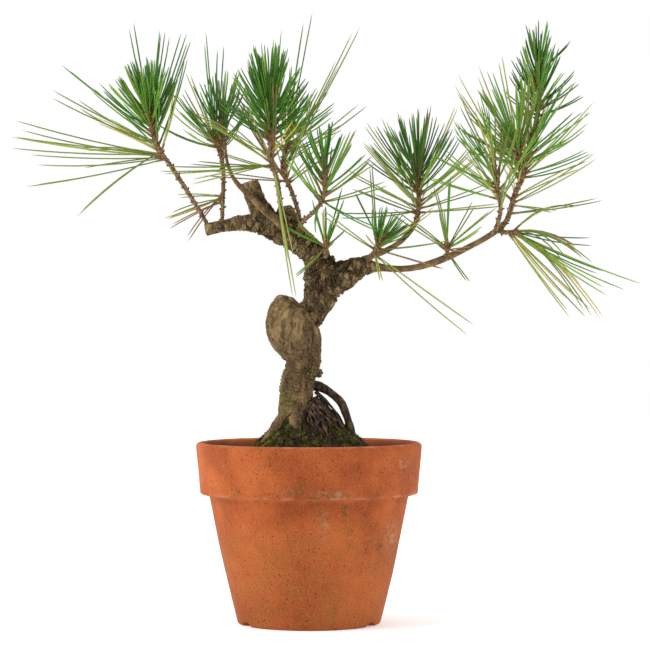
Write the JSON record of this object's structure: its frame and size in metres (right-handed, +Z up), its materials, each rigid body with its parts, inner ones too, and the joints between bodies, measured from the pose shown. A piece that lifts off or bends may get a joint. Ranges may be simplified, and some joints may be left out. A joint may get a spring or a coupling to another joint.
{
  "type": "potted japanese black pine bonsai",
  "caption": "Small potted pine: a swollen, twisted trunk and two main boughs that carry upright tufts of long paired needles, in a round banded clay pot.",
  "frame": {"origin": "on the surface that the pot stands on, under the middle of the whole plant's width and depth; the pot's own axis is 10.5 mm to the left of it and 8 mm in front", "axes": "+Z up, +X to the right as in the picture, +Y away from the camera"},
  "size_m": [0.419, 0.208, 0.4125],
  "materials": {
    "terracotta": "matt unglazed fired clay, weathered, with dark pits and grey-green algae",
    "soil": "dark granular soil with fine roots",
    "moss": "low green moss over dark soil",
    "bark": "rough grey-brown flaking bark with dark fissures",
    "root_bark": "dark rough root bark",
    "needles": "smooth slightly glossy green needles"
  },
  "bodies": {
    "root": {"pot": "terracotta", "soil": "soil", "moss_mound": "moss", "aerial_root": "root_bark", "trunk": "bark", "left_bough": "bark", "sawn_stub": "bark", "pruned_knob": "bark", "front_limb": "bark", "right_bough": "bark", "inner_right_bough": "bark", "needles_centre_back": "needles", "needles_centre_front": "needles", "needles_centre_right": "needles", "needles_fork": "needles", "needles_left_inner": "needles", "needles_left_outer": "needles", "needles_right_droop": "needles", "needles_right_inner": "needles", "needles_right_low": "needles", "needles_right_node": "needles", "needles_right_outer": "needles", "needles_right_small": "needles"}
  },
  "joints": []
}
